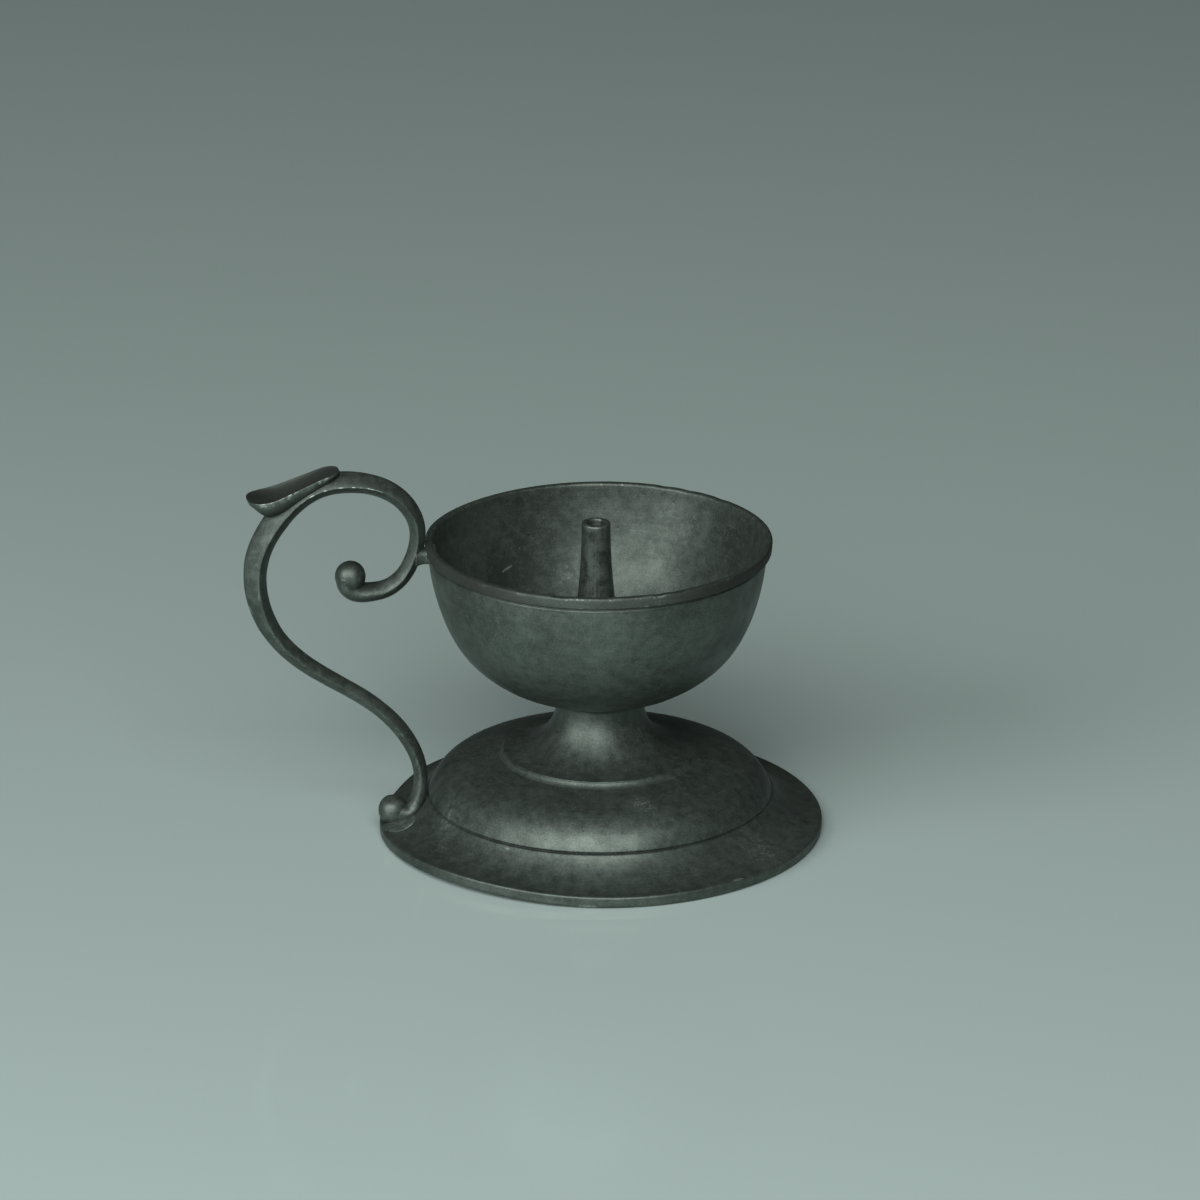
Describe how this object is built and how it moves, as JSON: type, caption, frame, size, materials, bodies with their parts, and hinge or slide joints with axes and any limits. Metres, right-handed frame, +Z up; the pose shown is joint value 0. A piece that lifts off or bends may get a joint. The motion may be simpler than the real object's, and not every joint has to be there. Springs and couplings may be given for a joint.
{
  "type": "chamberstick",
  "caption": "Dark pewter chamberstick: a deep bowl with a slim hollow post, on a trumpet stem and a domed foot, with an S-scroll handle that makes a finger loop under a thumb rest.",
  "frame": {"origin": "centre of the ring that the foot stands on, on the table", "axes": "+Z up along the axis of foot, stem, bowl and post; the handle lies in the XZ plane, towards -X"},
  "size_m": [0.1361, 0.105, 0.0917],
  "materials": {
    "pewter": "turned pewter with a dark satin patina, worn bright along the rims",
    "handle_pewter": "cast pewter with a dark satin patina, rubbed smooth by fingers",
    "solder": "tin solder, paler and a little uneven"
  },
  "bodies": {
    "root": {"foot": "pewter", "stem": "pewter", "bowl": "pewter", "post": "pewter", "handle": "handle_pewter", "thumb_rest": "handle_pewter", "stem_solder": "solder", "bowl_solder": "solder", "rim_lug": "solder", "curl_solder": "solder"}
  },
  "joints": []
}
